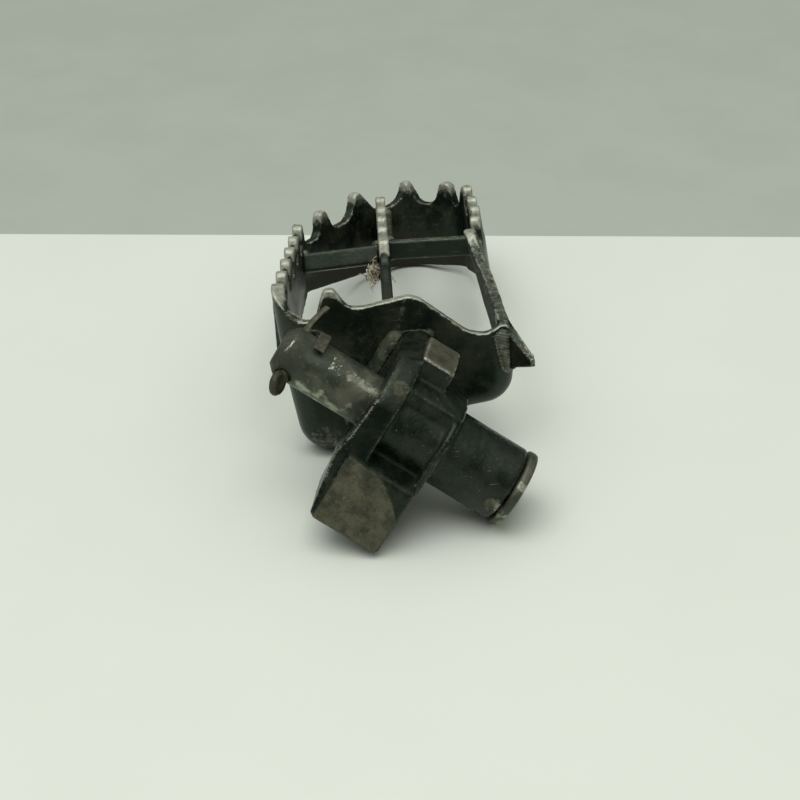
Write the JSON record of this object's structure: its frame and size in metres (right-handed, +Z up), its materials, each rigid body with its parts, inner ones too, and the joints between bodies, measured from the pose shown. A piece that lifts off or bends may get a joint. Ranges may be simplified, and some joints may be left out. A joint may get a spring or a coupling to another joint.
{
  "type": "foot peg",
  "caption": "Folding steel foot peg with a serrated ring, ribs and forged hub on a clevis pin with a split pin.",
  "frame": {"origin": "on the clevis pin's axis, at the middle of its free journal between the hub's cheek and the split pin", "axes": "+Z up, +Y outward along the tread, +X across the tread towards the pin's head; the peg lies on a bench on the low corner of its front plate, the pin's head and the far end of the ring"},
  "size_m": [0.05, 0.1181, 0.0359],
  "materials": {
    "tread_steel": "worn black coating over steel",
    "hub_steel": "worn black coating with brown grime",
    "weld_metal": "rough weld bead",
    "pin_steel": "oily, with bright rub marks",
    "split_pin_steel": "rusty wire"
  },
  "bodies": {
    "pivot": {"pivot_pin": "pin_steel", "split_pin": "split_pin_steel"},
    "peg": {"tread_band": "tread_steel", "centre_rib": "tread_steel", "crossbar_left": "tread_steel", "crossbar_right": "tread_steel", "hub_forging": "hub_steel", "band_seam_weld": "weld_metal", "rib_plate_weld_left": "weld_metal", "rib_end_weld_left": "weld_metal", "rib_plate_weld_right": "weld_metal", "rib_end_weld_right": "weld_metal", "bar_weld_left": "weld_metal", "bar_weld_right": "weld_metal", "bar_rib_weld_left": "weld_metal", "bar_rib_weld_right": "weld_metal", "hub_weld_left": "weld_metal", "hub_weld_top": "weld_metal", "hub_weld_right": "weld_metal", "hub_weld_bottom": "weld_metal"}
  },
  "joints": [
    {"name": "peg_fold", "type": "hinge", "parent": "pivot", "child": "peg", "pos_m": [0, 0, 0], "axis": [0.8299, -0.2245, -0.5107], "range_deg": [0, 75]}
  ]
}
